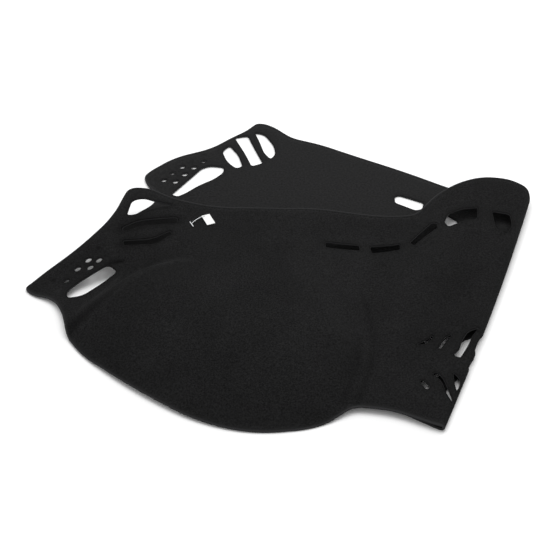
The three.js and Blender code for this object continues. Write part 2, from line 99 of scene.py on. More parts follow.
OUTLINE = [
    # driver end, from its front tip along the formed hood edge to the middle of the car
    *at_driver_end([[0, 112, 9], [16, 97, 12], [50, 86, 20], [70, 56, 25], [86, 10, 12]]),
    [-545, -28, 30], [-460, -92, 60], [-370, -142, 60], [-290, -158, 60], [-205, -140, 40],
    [-157, -102, 12], [-105, -105, 25],
    # middle front edge and the passenger half's front edge
    [-38, -131, 20], [0, -133, 20], [70, -135, 40], [150, -127, 60], [400, -116, 90], [545, -100, 60],
    # passenger end
    *at_passenger_end([[62, -62, 30], [54, -10, 25], [63, 40, 18], [54, 66, 14], [23, 75, 12], [1, 92, 10]]),
    *at_passenger_end([[0, 112, 14], [8, 165, 25], [42, 222, 25], [50, 270, 20], [58, 300, 12]]),
    *at_passenger_end([[59, 331, 7], [73, 337.5, 6], [92, 338, 12]]),
    # windscreen edge of the passenger half
    *at_rear_edge([[533, 18, 15], [480, 30, 20], [420, 34, 40], [320, 43, 40], [240, 45, 25], [190, 50, 25]]),
    # raised bulge in the middle of the windscreen edge, crossed by the fold
    *at_rear_edge([[140, 62, 20], [104, 72, 12], [92, 98, 14], [66, 116, 18], [24, 120, 22], [-14, 102, 20]]),
    *at_rear_edge([[-50, 66, 22], [-84, 6, 14]]),
    # driver half's windscreen edge and outer corner
    *at_rear_edge([[-130, 1, 30], [-240, -4, 40], [-300, -21, 50], [-385, -30, 50], [-455, -17, 25]]),
    *at_driver_end([[157, 321, 20], [125, 320, 20], [113, 245, 30], [70, 188, 30], [22, 140, 14]]),
]

# Driver side air vent, three slots between two curved bars
DRIVER_VENT = [at_driver_end(cut) for cut in [
    [
        [134, 250, 5], [136, 286, 10], [152, 294, 10], [182, 283, 12],
        [204, 279, 3], [174, 269, 14], [146, 251, 6],
    ],
    [[131, 222, 4], [154, 237, 12], [213, 248, 4], [216, 234, 4], [162, 225, 12], [135, 214, 4]],
    [[137, 196, 3], [182, 196, 14], [208, 215, 4], [210, 208, 3], [192, 186, 12], [139, 187, 4]],
]]

# Driver side long slot
DRIVER_LONG_SLOT = [at_driver_end([
    [68, 100, 7], [72, 86, 6], [94, 89, 10], [117, 113, 14],
    [138, 137, 6], [122, 151, 8], [106, 140, 14], [80, 118, 12],
])]

# Demister slots along the windscreen edge, from the driver side to the passenger side
DEMISTER_SLOTS = [at_rear_edge(cut) for cut in [
    [[-219, -86, 3], [-167, -79, 3], [-166, -91, 3], [-218, -99, 3]],
    [[-151, -78, 3], [-106, -67, 3], [-105, -80, 4], [-148, -93, 3]],
    [[-91, -64, 2], [-58, -12, 3], [-49, -12, 3], [-50, -23, 3], [-84, -70, 2]],
    [[-39, -7, 6], [-33, 15, 8], [-12, 31, 8], [13, 37, 4], [11, 8, 4], [-13, -1, 8], [-33, -17, 5]],
    [[35, 29, 4], [62, 24, 6], [64, -4, 8], [54, -26, 5], [38, -12, 5]],
    [[92, -42, 4], [98, -9, 4], [108, -10, 4], [106, -44, 4]],
    [[137, -12, 3], [129, -14, 3], [160, -68, 3], [168, -64, 3]],
    [[176, -48, 4], [182, -26, 4], [234, -16, 4], [236, -38, 4]],
    [[245, -30, 4], [252, -14, 4], [294, -19, 4], [299, -26, 3], [290, -40, 4], [252, -39, 4]],
]]

# Leaf shaped speaker grille over the middle, cut by the fold
LEAF_GRILLE = [
    [[-78, 24, 1.5], [-65, 34, 8], [-54, 49, 1.5], [-56, 40, 4], [-66, 27, 8]],
    [[-49, 17, 2], [-46, 28, 8], [-38, 45, 8], [-29, 51, 2], [-37, 36, 10], [-45, 20, 4]],
    [
        [-30, 8, 2], [-20, 18, 6], [-16, 40, 12], [-7, 60, 8],
        [7, 67, 2], [-2, 50, 8], [-7, 32, 14], [-15, 4, 5],
    ],
    [[2, 22, 3], [6, 40, 10], [15, 60, 3], [22, 57, 3], [18, 36, 10], [11, 20, 3]],
    [[23, 3, 3], [27, 30, 8], [32, 54, 3], [39, 40, 6], [36, 8, 4]],
    [[52, 6, 3], [53, 30, 8], [57, 43, 3], [63, 30, 8], [61, 7, 3]],
    [[76, 4, 2], [74, 22, 4], [80, 28, 2], [84, 8, 3]],
    [[-6, -12, 2], [-3, 6, 4], [5, 8, 3], [3, -12, 2]],
    [[-72, -45, 2], [-65, -45, 2], [-57, -59, 2], [-61, -63, 2], [-67, -56, 4]],
    [
        [-57, -33, 2], [-50, -27, 4], [-41, -38, 8], [-34, -58, 10],
        [-24, -90, 2], [-36, -66, 8], [-42, -46, 8], [-49, -36, 4],
    ],
    [[-27, -27, 2], [-19, -36, 6], [-17, -50, 5], [-22, -61, 2], [-25, -46, 6]],
    [[5, -34, 3], [-2, -34, 3], [-10, -54, 6], [-13, -80, 3], [-4, -84, 3], [6, -60, 8]],
    [[27, -40, 3], [34, -36, 3], [42, -64, 8], [38, -78, 4], [24, -78, 4], [29, -60, 8]],
    [[66, -44, 2], [74, -46, 2], [70, -64, 3], [60, -66, 2]],
]

# Passenger side air vent
PASSENGER_VENT = [at_passenger_end(cut) for cut in [
    [[62, 226, 8], [61, 248, 6], [90, 234, 10], [116, 211, 6], [111, 200, 6], [88, 206, 12]],
    [[138, 238, 5], [128, 220, 5], [98, 243, 12], [54, 272, 5], [69, 290, 5], [97, 268, 12]],
    [[73, 305, 5], [90, 310, 10], [122, 292, 12], [140, 272, 8], [142, 255, 6], [122, 264, 8], [97, 286, 12]],
]]

# Passenger side long slot
PASSENGER_LONG_SLOT = [at_passenger_end([
    [69, 79, 5], [81, 81, 4], [86, 96, 8], [90, 126, 14], [99, 152, 10],
    [101, 178, 7], [92, 191, 6], [71, 181, 7], [64, 168, 10], [67, 120, 20],
])]

CUTS = [
    *DRIVER_VENT, *DRIVER_LONG_SLOT, *DEMISTER_SLOTS, *LEAF_GRILLE, *PASSENGER_VENT, *PASSENGER_LONG_SLOT,
]

# Rows of small oval holes: start, bend and end of each row, the direction that the ovals lie in, and the
# width of each hole; its length follows its width. A width of 0 gives a spot of painted shade, no hole.
SMALL_HOLE_LENGTH = 4
SMALL_HOLE_STRETCH = 0.8
SMALL_HOLE_ROWS = [
    {"path": at_driver_end([[43, 128], [80, 137], [101, 183]]), "lie": 32, "widths": (0, 0, 7.5, 7.5, 0)},
    {"path": at_driver_end([[63, 124], [92, 141], [106, 161]]), "lie": 32, "widths": (5.4, 0, 7.5, 7.5)},
    {"path": at_passenger_end([[53, 111], [51, 149], [55, 184]]), "lie": 117, "widths": (8, 8, 7.5, 5.5)},
    {"path": at_passenger_end([[35, 103], [33, 150], [43, 199]]), "lie": 117, "widths": (7.5, 6, 7.5, 0, 0)},
]

# Formed creases on the driver half, and the soft crest of its middle panel
HOOD_RIDGE = at_driver_end([
    [90, -6], [94, 11], [113, 24], [132, 49], [151, 73], [169, 95], [194, 123], [258, 148],
])
HOOD_VALLEY = at_driver_end([[62, -6], [72, 30], [89, 60], [117, 92], [157, 135], [222, 157]])
HOOD_FALL_START = [[-195, -100], [-190, 0], [-240, 100], [-350, 250]]
HOOD_FALL_END = [[-148, -100], [-132, 0], [-130, 60], [-112, 150], [-90, 250]]
PANEL_CREST = [[-135, -77], [-71, 203]]

# Fine creases of the driver half that the pressing left: path, half width, height, and the painted shade
# (below 0) or painted highlight (above 0) of the pile along it
FINE_CREASES = [
    ([[-154, 110], [-142, 54], [-137, 12], [-140, -31], [-154, -100]], 3.5, -1.2, -0.26),
    ([[-158, 16], [-158, -30], [-166, -69], [-174, -100]], 4.5, -1.2, -0.20),
    ([[-147, 16], [-149, -30], [-158, -80]], 5, 0.8, 0.08),
    ([[-339, -7], [-346, -32]], 9, 0.6, 0.10),
    ([[-138, -77], [-77, 200]], 8, 0.5, 0.06),
    # two low ridges at the foot of the hood with painted highlights, and painted shade on the fall between
    # them
    (
        [[-563, 9], [-550, 19], [-538, 30], [-528, 44], [-519, 60], [-507, 77], [-496, 91], [-484, 105],
         [-473, 116], [-451, 138], [-429, 144], [-405, 147]],
        2.6, 0.7, 0.32,
    ),
    ([[-572, 45], [-560, 60], [-547, 74], [-535, 94], [-524, 114], [-509, 132]], 2.6, 0.7, 0.26),
    (
        [[-569, 22], [-556, 36], [-544, 50], [-532, 66], [-520, 84], [-508, 104], [-494, 120], [-475, 131]],
        11, -0.8, -0.46,
    ),
    # pressed slit behind the long slot, with painted shade along its groove
    ([[-540, 152], [-529, 156], [-516, 156]], 2.0, -1.6, -0.65),
    # painted shade round the two lower vent slots
    ([[-528, 222], [-500, 232], [-450, 241]], 13, 0.0, -0.35),
    ([[-522, 191], [-478, 190], [-459, 208]], 9, 0.0, -0.30),
    ([[-512, 262], [-470, 277]], 8, 0.0, -0.30),
    # painted shade on the side of the middle panel, towards the fold
    ([[-58, 50], [-20, 190]], 48, 0.0, -0.13),
]

# Painted shade and light on the passenger half's back face, in the same form: painted shade beside the vent,
# and painted light where it shows through the driver half's cuts
INNER_SHADES = [
    ([[607, -32], [582, 0], [553, 24]], 26, 0.0, -0.6),
    ([[576, -64], [544, -37]], 22, 0.0, -0.6),
    (
        [[319, 116], [274, 135], [238, 157], [212, 194], [208, 253], [191, 300], [150, 325], [121, 324]],
        14, 0.0, 1.7,
    ),
]

# Columns of the two tables above
CREASE_HEIGHT = 2
CREASE_SHADE = 3

# Closed holes get small dark spots of painted shade
HOLE_SPOT_WIDTH = 3.4
HOLE_SPOT_SHADE = -0.5

# Painted light beside the edges: a painted highlight along every rim, and painted shade just inside a cut
RIM_HIGHLIGHT_WIDTH = 2.4
CUT_SHADE = -0.45
CUT_SHADE_WIDTH = 2.4

# Pressed hem along the outline, and two lines of painted shade and highlight beside it: depth, half width,
# change of shade
HEM_LINE = 6.5
HEM_PRESS = 0.45
HEM_WIDTH = 0.9
HEM_SHADE_LINES = ((3.4, 1.1, -0.20), (6.8, 1.4, 0.16))

# Rounding of every edge: how deep it reaches, and how much it narrows the rim.
# A narrowing of 0.75 leaves half the sheet's thickness at the rim.
EDGE_ROUND = 2.2
EDGE_NARROWING = 0.75

# Mesh of the visual sheet: steps of its grid, of the outline, of the cuts and over the fold's roll
GRID_STEP = 6.5
EDGE_STEP = 4.0
CUT_STEP = 2.6
ROLL_STEP = 1.8
ROLL_COLUMNS = 22
ROLL_MARGIN = 4
HOLE_SIDES = 16

# Rings of points beside every edge, and beside the outline for its hem
RING_DEPTHS = (0.5, 1.4, 2.8)
HEM_DEPTHS = (5.4, 6.5, 7.6)

# How near a point of a ring may come to another edge, as a share of its depth, and a point of the rest
RING_CLEARANCE = 0.93
POINT_CLEARANCE = 1.5

# Samples that a rounded path is measured by
CORNER_SAMPLES = 40
STRAIGHT_SAMPLE_STEP = 0.5

# Distances to a loop are measured up to this far away from it
LOOP_REACH = 40
FAR_AWAY = 1e9

# Half width of the middle of the sheet, where the fold crosses its outline
MIDDLE_HALF_WIDTH = 150

# Where the tag lies on the carpet, and the height of its middle over the pile
TAG_AT = (-400.5, 245)
TAG_MIDDLE_LIFT = 1.45


def smooth(value, low, high):
    share = np.clip((value - low) / (high - low), 0, 1)
    return share * share * (3 - 2 * share)


def lerp(a, b, share):
    return a + (b - a) * share


# Form of the folded sheet

def across_fold(x, y):
    return x * math.sin(FOLD_ANGLE) - y * math.cos(FOLD_ANGLE)


def along_fold(x, y):
    return x * math.cos(FOLD_ANGLE) + y * math.sin(FOLD_ANGLE)


def from_fold(s, t):
    """The place that lies so far across the fold, and so far along it."""
    x = s * math.sin(FOLD_ANGLE) + t * math.cos(FOLD_ANGLE)
    y = -s * math.cos(FOLD_ANGLE) + t * math.sin(FOLD_ANGLE)
    return x, y


middle_corners = [along_fold(x, y) for x, y, _ in OUTLINE if abs(x) < MIDDLE_HALF_WIDTH]
FOLD_FRONT = min(middle_corners)
FOLD_REAR = max(middle_corners)


def fold_share(t):
    """How far along the fold a point lies, from 0 at the front edge to 1 at the windscreen edge."""
    return np.clip((t - FOLD_FRONT) / (FOLD_REAR - FOLD_FRONT), 0, 1)


def fold_radius(t):
    return lerp(FOLD_RADIUS_FRONT, FOLD_RADIUS_REAR, fold_share(t))


def crease_x(crease, y):
    """Where a crease is across the car, at each y."""
    return np.interp(y, [c[1] for c in crease], [c[0] for c in crease])


def soft_lower(a, b, blend):
    """The lower of two heights, blended where they meet."""
    near = np.maximum(blend - np.abs(a - b), 0)
    return np.minimum(a, b) - near * near / (4 * blend)


def soft_ramp(value, blend):
    """The value where it is above 0, otherwise 0, blended at the bend."""
    return 0.5 * (value + np.sqrt(value * value + blend * blend))


def panel_height(x, y):
    share = fold_share(along_fold(x, y))
    off = (x - crease_x(PANEL_CREST, y)) / PANEL_CREST_WIDTH
    crest = PANEL_CREST_HEIGHT * np.exp(-off * off) * np.sin(math.pi * share)
    return lerp(PANEL_FRONT_HEIGHT, PANEL_REAR_HEIGHT, share) + crest


def driver_height(x, y):
    flap = FLAP_SLOPE_ACROSS * soft_ramp(x + DRIVER_REACH - FLAP_START, FLAP_BLEND)
    flap = flap + FLAP_SLOPE_BACK * soft_ramp(y - FLAP_START_Y, FLAP_BLEND)
    flap = soft_lower(flap, HOOD_HEIGHT + FLAP_OVER_HOOD, FLAP_BLEND)
    hood_front = HOOD_FRONT_Y + HOOD_FRONT_CURVE * (x - HOOD_MIDDLE_X) ** 2
    inside = np.clip((y - hood_front) / HOOD_DEPTH, 0, 1)
    hood = HOOD_HEIGHT * (1 - (1 - inside) ** 2)
    on_hood = smooth(x, crease_x(HOOD_VALLEY, y), crease_x(HOOD_RIDGE, y))
    on_panel = smooth(x, crease_x(HOOD_FALL_START, y), crease_x(HOOD_FALL_END, y))
    return lerp(lerp(flap, hood, on_hood), panel_height(x, y), on_panel)


def path_distance(x, y, path):
    """Distance of each point to an open path."""
    nearest = np.full(np.shape(x), FAR_AWAY)
    for (x0, y0), (x1, y1) in zip(path, path[1:]):
        run, rise = x1 - x0, y1 - y0
        share = np.clip(((x - x0) * run + (y - y0) * rise) / (run * run + rise * rise), 0, 1)
        nearest = np.minimum(nearest, np.hypot(x - x0 - share * run, y - y0 - share * rise))
    return nearest


def along_paths(x, y, creases, column):
    """Sum of the creases' heights or shades, each fading away from its path."""
    return sum(crease[column] * np.exp(-(path_distance(x, y, crease[0]) / crease[1]) ** 2)
               for crease in creases)


def pile_shade(x, y):
    """Painted shade and highlight along the driver half's creases, and painted shade at the closed holes."""
    shade = np.where(across_fold(x, y) < 0, along_paths(x, y, FINE_CREASES, CREASE_SHADE), 0.0)
    # painted shade at each closed hole
    for centre in small_holes()[1]:
        apart = np.hypot(x - centre[0], y - centre[1])
        shade = shade + HOLE_SPOT_SHADE * np.exp(-(apart / HOLE_SPOT_WIDTH) ** 2)
    return shade


def folded(x, y):
    """Middle surface of the folded sheet, in millimetres, before it is turned as it lies."""
    s = across_fold(x, y)
    t = along_fold(x, y)
    radius = fold_radius(t)
    away = np.abs(s) - math.pi / 2 * radius
    rolled = away <= 0
    bow = FOLD_BOW * np.sin(math.pi * fold_share(t)) * np.exp(-((s / FOLD_BOW_WIDTH) ** 2))
    side = np.where(rolled, radius * np.cos(s / radius), -away) - radius + bow
    formed = smooth(away, 0, PANEL_BLEND)
    creased = driver_height(x, y) + along_paths(x, y, FINE_CREASES, CREASE_HEIGHT)
    top = lerp(2 * radius, creased, formed)
    bottom = END_LIFT * smooth(away, END_LIFT_START, END_LIFT_START + END_LIFT_LENGTH)
    height = np.where(rolled, radius - radius * np.sin(s / radius), np.where(s < 0, top, bottom))
    height = height + MAT_THICKNESS / 2
    return np.stack([*from_fold(side, t), height], axis=-1)


def folded_normal(x, y, step=0.4):
    """Unit normal of the folded sheet, towards its pile face, from points a small step apart."""
    across = folded(x + step, y) - folded(x - step, y)
    back = folded(x, y + step) - folded(x, y - step)
    normal = np.cross(across, back)
    return normal / np.linalg.norm(normal, axis=-1, keepdims=True)


# Flat pattern: rounded outlines as points

def rounded_points(corners, step):
    """Points along a closed path with rounded corners, closer together near the fold."""
    points = np.array([c[:2] for c in corners], float)
    pieces = []
    for i, corner in enumerate(corners):
        back = points[i - 1] - points[i]
        ahead = points[(i + 1) % len(points)] - points[i]
        cut = min(corner[2], np.linalg.norm(back) / 2, np.linalg.norm(ahead) / 2)
        start = points[i] + back / np.linalg.norm(back) * cut
        end = points[i] + ahead / np.linalg.norm(ahead) * cut
        pieces.append((start, points[i], end))
    dense = []
    for i, (start, middle, end) in enumerate(pieces):
        u = np.linspace(0, 1, CORNER_SAMPLES)[:, None]
        dense.append((1 - u) ** 2 * start + 2 * u * (1 - u) * middle + u ** 2 * end)
        following = pieces[(i + 1) % len(pieces)][0]
        count = max(2, int(np.linalg.norm(following - end) / STRAIGHT_SAMPLE_STEP))
        u = np.linspace(0, 1, count)[1:-1, None]
        dense.append(end + (following - end) * u)
    dense = np.concatenate(dense)
    s = np.abs(across_fold(dense[:, 0], dense[:, 1]))
    reach = math.pi * fold_radius(along_fold(dense[:, 0], dense[:, 1]))
    wanted = np.where(s < reach, ROLL_STEP, np.minimum(step, np.maximum(s - reach, ROLL_STEP)))
    gaps = np.linalg.norm(np.diff(dense, axis=0, append=dense[:1]), axis=1)
    travelled = np.concatenate([[0], np.cumsum(gaps / wanted)])
    count = int(round(travelled[-1]))
    closed = np.vstack([dense, dense[:1]])
    marks = np.arange(count) * travelled[-1] / count
    return np.stack([np.interp(marks, travelled, closed[:, k]) for k in (0, 1)], axis=1)


def oval_points(centre, lie, length, width, sides):
    """Points round an oval whose length lies at this angle, in degrees."""
    angle = 2 * math.pi * (np.arange(sides) + 0.5) / sides
    ahead = np.array([math.cos(math.radians(lie)), math.sin(math.radians(lie))])
    aside = np.array([-ahead[1], ahead[0]])
    across = np.outer(np.sin(angle) * width / 2, aside)
    return np.array(centre) + np.outer(np.cos(angle) * length / 2, ahead) + across


def small_holes():
    """The open holes as loops, and the places of the closed ones."""
    holes = []
    shaded_spots = []
    for row in SMALL_HOLE_ROWS:
        start, bend, end = [np.array(point, float) for point in row["path"]]
        for i, width in enumerate(row["widths"]):
            u = i / (len(row["widths"]) - 1)
            centre = (1 - u) ** 2 * start + 2 * u * (1 - u) * bend + u * u * end
            length = SMALL_HOLE_LENGTH + SMALL_HOLE_STRETCH * width
            if width == 0:
                # a closed hole is only a spot of painted shade
                shaded_spots.append(centre)
            else:
                holes.append(oval_points(centre, row["lie"], length, width, HOLE_SIDES))
    return holes, shaded_spots


def loop_distance(points, loop):
    """Distance of each point to a closed loop, or a very large one where the loop is out of reach."""
    nearest = np.full(len(points), FAR_AWAY)
    box_low = loop.min(axis=0) - LOOP_REACH
    box_high = loop.max(axis=0) + LOOP_REACH
    near = np.all((points > box_low) & (points < box_high), axis=1)
    chosen = points[near]
    best = np.full(len(chosen), FAR_AWAY)
    for a, b in zip(loop, np.roll(loop, -1, axis=0)):
        edge = b - a
        share = np.clip(((chosen - a) @ edge) / (edge @ edge), 0, 1)
        best = np.minimum(best, np.linalg.norm(chosen - a - share[:, None] * edge, axis=1))
    nearest[near] = best
    return nearest


def inside_loop(points, loop):
    """Whether each point lies inside a closed loop, by counting the edges beside it."""
    inside = np.zeros(len(points), bool)
    for a, b in zip(loop, np.roll(loop, -1, axis=0)):
        crosses = (a[1] > points[:, 1]) != (b[1] > points[:, 1])
        slope = (b[0] - a[0]) / (b[1] - a[1]) if b[1] != a[1] else 0.0
        inside ^= crosses & (points[:, 0] < a[0] + slope * (points[:, 1] - a[1]))
    return inside


def offset_loop(loop, depth):
    """Points beside a loop, to its left."""
    ahead = np.roll(loop, -1, axis=0) - np.roll(loop, 1, axis=0)
    left = np.stack([-ahead[:, 1], ahead[:, 0]], axis=1)
    return loop + left / np.linalg.norm(left, axis=1, keepdims=True) * depth


def signed_area(loop):
    following = np.roll(loop, -1, axis=0)
    return 0.5 * np.sum(loop[:, 0] * following[:, 1] - following[:, 0] * loop[:, 1])


def sheet_points():
    """Loops of the pattern, then the points inside it with their depth from any edge and from the outline."""
    outline = rounded_points(OUTLINE, EDGE_STEP)
    holes = [rounded_points(c, CUT_STEP) for c in CUTS] + small_holes()[0]
    loops = [outline if signed_area(outline) > 0 else outline[::-1]]
    loops += [h if signed_area(h) < 0 else h[::-1] for h in holes]

    def keep(points, clear):
        """Those of the points that lie on the carpet, and farther than this from every edge."""
        points = points[inside_loop(points, loops[0])]
        for hole in loops[1:]:
            points = points[~inside_loop(points, hole)]
        far = np.array([loop_distance(points, loop) for loop in loops])
        kept = far.min(axis=0) > clear
        return points[kept], far.min(axis=0)[kept], far[0][kept]

    parts = []
    for depth in RING_DEPTHS:
        for loop in loops:
            parts.append(keep(offset_loop(loop, depth), depth * RING_CLEARANCE))
    for depth in HEM_DEPTHS:
        parts.append(keep(offset_loop(loops[0], depth), depth * RING_CLEARANCE))
    rows = []
    t = FOLD_FRONT
    while t < FOLD_REAR:
        half = math.pi / 2 * float(fold_radius(t))
        for s in np.linspace(-half - ROLL_MARGIN, half + ROLL_MARGIN, ROLL_COLUMNS):
            rows.append(from_fold(s, t))
        t += GRID_STEP
    parts.append(keep(np.array(rows), POINT_CLEARANCE))
    low = loops[0].min(axis=0)
    high = loops[0].max(axis=0)
    grid = []
    for row, y in enumerate(np.arange(low[1], high[1], GRID_STEP * math.sqrt(3) / 2)):
        xs = np.arange(low[0] + (row % 2) * GRID_STEP / 2, high[0], GRID_STEP)
        grid.append(np.stack([xs, np.full(len(xs), y)], axis=1))
    grid = np.concatenate(grid)
    s = np.abs(across_fold(grid[:, 0], grid[:, 1]))
    reach = math.pi / 2 * fold_radius(along_fold(grid[:, 0], grid[:, 1])) + ROLL_MARGIN
    parts.append(keep(grid[s > reach + GRID_STEP / 2], max(HEM_DEPTHS) + POINT_CLEARANCE))
    inner, depth, from_outline = [np.concatenate(column) for column in zip(*parts)]
    return loops, inner, depth, from_outline


def flat_faces(loops, inner):
    """Triangles over the flat pattern, from a constrained triangulation."""
    points = np.concatenate(loops + [inner])
    edges = []
    first = 0
    for loop in loops:
        edges += [(first + i, first + (i + 1) % len(loop)) for i in range(len(loop))]
        first += len(loop)
    result = geometry.delaunay_2d_cdt([Vector(p) for p in points], edges, [], 0, 1e-4, True)
    out_points = np.array([tuple(v) for v in result[0]])
    faces = np.array(result[2])
    centres = out_points[faces].mean(axis=1)
    kept = inside_loop(centres, loops[0])
    for hole in loops[1:]:
        kept &= ~inside_loop(centres, hole)
    source = np.array([ids[0] for ids in result[3]])
    return out_points, faces[kept], source


def laid_down(points):
    """Turns folded points as the mat lies."""
    turn = np.array([[math.cos(LAY_TURN), -math.sin(LAY_TURN), 0],
                     [math.sin(LAY_TURN), math.cos(LAY_TURN), 0],
                     [0, 0, 1]])
    return points @ turn.T


def frame_shift():
    """From the fold's origin to the frame's, in metres, found where the tag lies."""
    low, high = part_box("tag")
    x, y = np.array([TAG_AT[0]]), np.array([TAG_AT[1]])
    middle = folded(x, y) + folded_normal(x, y) * (MAT_THICKNESS / 2 + TAG_MIDDLE_LIFT)
    across, back, _ = (np.array(low) + np.array(high)) / 2 - laid_down(middle)[0] * MM
    return np.array([across, back, 0.0])


def edge_walls(faces, count):
    """Walls along every free edge, between the upper skin and the lower one, whose points come count later."""
    edges = {(int(f[i]), int(f[(i + 1) % 3])) for f in faces for i in range(3)}
    return sorted((b, a, count + a, count + b) for a, b in edges if (b, a) not in edges)


def make_mat():
    """The folded sheet as one closed mesh: its pile face, its back face, and walls along every cut edge."""
    loops, inner, inner_depth, from_outline = sheet_points()
    points, faces, source = flat_faces(loops, inner)
    # depth from the nearest edge, and depth from the outline, where the rims of the cuts count as 0 too
    rim = np.zeros(sum(len(loop) for loop in loops))
    depth = np.concatenate([rim, inner_depth])[source]
    hem_depth = np.concatenate([rim, from_outline])[source]
    x, y = points[:, 0], points[:, 1]
    middle = folded(x, y)
    normal = folded_normal(x, y)

    rounding = np.clip(1 - depth / EDGE_ROUND, 0, 1)
    half = MAT_THICKNESS / 2 * np.sqrt(1 - EDGE_NARROWING * rounding ** 2)
    hem = HEM_PRESS * np.exp(-((hem_depth - HEM_LINE) / HEM_WIDTH) ** 2)
    outer = middle + normal * (half - hem)[:, None]
    under = middle - normal * (half - hem)[:, None]
    count = len(points)
    polygons = [tuple(int(v) for v in f) for f in faces]
    polygons += [tuple(int(count + v) for v in f[::-1]) for f in faces]
    polygons += edge_walls(faces, count)
    vertices = laid_down(np.concatenate([outer, under])) * MM + frame_shift()
    vertices[:, 2] -= vertices[:, 2].min()

    mesh = bpy.data.meshes.new("dash_mat_carpet")
    mesh.from_pydata([tuple(v) for v in vertices], [], polygons)
    mesh.update()
    mat = bpy.data.objects.new("dash_mat_carpet", mesh)
    bpy.context.scene.collection.objects.link(mat)
    for polygon in mesh.polygons:
        polygon.use_smooth = True
    mesh.materials.append(carpet_material())
    mesh.materials.append(backing_material())
    for polygon in mesh.polygons[len(faces):2 * len(faces)]:
        polygon.material_index = 1
    paint_shade_and_highlights(mesh, x, y, depth, hem_depth)
    return mat


def paint_shade_and_highlights(mesh, x, y, depth, hem_depth):
    """Keeps the painted rim highlight and the painted shade and light of the pile, on both skins of the sheet.
    """
    paint(mesh, "rim_highlight", np.tile(np.exp(-(hem_depth / RIM_HIGHLIGHT_WIDTH) ** 2), 2))
    shade = pile_shade(x, y)
    shade += np.where(depth < hem_depth, CUT_SHADE * np.exp(-(depth / CUT_SHADE_WIDTH) ** 2), 0)
    for line, width, change in HEM_SHADE_LINES:
        shade += change * np.exp(-((hem_depth - line) / width) ** 2)
    # painted shade and light on the passenger half's back face
    inner_shade = np.where(across_fold(x, y) > 0, along_paths(x, y, INNER_SHADES, CREASE_SHADE), 0.0)
    paint(mesh, "pile", np.concatenate([shade, shade + inner_shade]))


def paint(mesh, name, values):
    """Keeps one number at each point of the mesh for its material."""
    mesh.attributes.new(name, "FLOAT", "POINT").data.foreach_set("value", values.astype(np.float32))


# Materials. Colours are linear, and each pair is the darker and the lighter tone that a noise mixes.

PILE_TONES = ((0.0048, 0.0048, 0.0049), (0.0175, 0.0175, 0.0178))
BRUSHED_TONES = ((0.90, 0.90, 0.90), (1.12, 1.12, 1.12))
BACKING_TONES = ((0.0090, 0.0090, 0.0092), (0.0188, 0.0188, 0.0191))
CARD_TONES = ((0.80, 0.80, 0.79), (0.88, 0.88, 0.87))
NYLON_TONES = ((0.78, 0.80, 0.82), (0.9, 0.91, 0.92))
# Painted highlight along every rim
RIM_HIGHLIGHT_COLOUR = (0.034, 0.034, 0.035)

# Floor as the light finds it, and as the camera sees it
FLOOR_TONES = ((0.8, 0.8, 0.8), (1.04, 1.04, 1.04))


def new_material(name):
    material = bpy.data.materials.new(name)
    material.use_nodes = True
    nodes = material.node_tree.nodes
    shader = nodes["Principled BSDF"]
    return material, nodes, material.node_tree.links, shader


def object_noise(nodes, links, scale, detail, roughness):
    coords = nodes.new("ShaderNodeTexCoord")
    texture = nodes.new("ShaderNodeTexNoise")
    texture.inputs["Scale"].default_value = scale
    texture.inputs["Detail"].default_value = detail
    texture.inputs["Roughness"].default_value = roughness
    links.new(coords.outputs["Object"], texture.inputs["Vector"])
    return texture


def ramp(nodes, links, source, low, high, tones):
    node = nodes.new("ShaderNodeValToRGB")
    for element, place, tone in zip(node.color_ramp.elements, (low, high), tones):
        element.position = place
        element.color = (*tone, 1)
    links.new(source, node.inputs["Fac"])
    return node


def add_bump(nodes, links, shader, texture, strength, distance):
    bump = nodes.new("ShaderNodeBump")
    bump.inputs["Strength"].default_value = strength
    bump.inputs["Distance"].default_value = distance
    links.new(texture.outputs["Fac"], bump.inputs["Height"])
    links.new(bump.outputs["Normal"], shader.inputs["Normal"])


def add_sheen(shader, weight, roughness):
    shader.inputs["Sheen Weight"].default_value = weight
    shader.inputs["Sheen Roughness"].default_value = roughness


def painted(nodes, name):
    """The number that the mesh keeps at each point under this name."""
    node = nodes.new("ShaderNodeAttribute")
    node.attribute_name = name
    return node.outputs["Fac"]


def with_painted_light(nodes, links, colour):
    """Colour with the painted shade and highlights of the pile, and a painted highlight along every rim."""
    # painted shade and highlights that the mesh keeps
    shade = nodes.new("ShaderNodeMath")
    shade.operation = "ADD"
    shade.inputs[1].default_value = 1.0
    links.new(painted(nodes, "pile"), shade.inputs[0])
    shaded = nodes.new("ShaderNodeVectorMath")
    shaded.operation = "SCALE"
    links.new(colour, shaded.inputs[0])
    links.new(shade.outputs["Value"], shaded.inputs["Scale"])
    # painted highlight along every rim
    rim_highlight = nodes.new("ShaderNodeMix")
    rim_highlight.data_type = "RGBA"
    rim_highlight.inputs["B"].default_value = (*RIM_HIGHLIGHT_COLOUR, 1)
    links.new(painted(nodes, "rim_highlight"), rim_highlight.inputs["Factor"])
    links.new(shaded.outputs["Vector"], rim_highlight.inputs["A"])
    return rim_highlight.outputs["Result"]


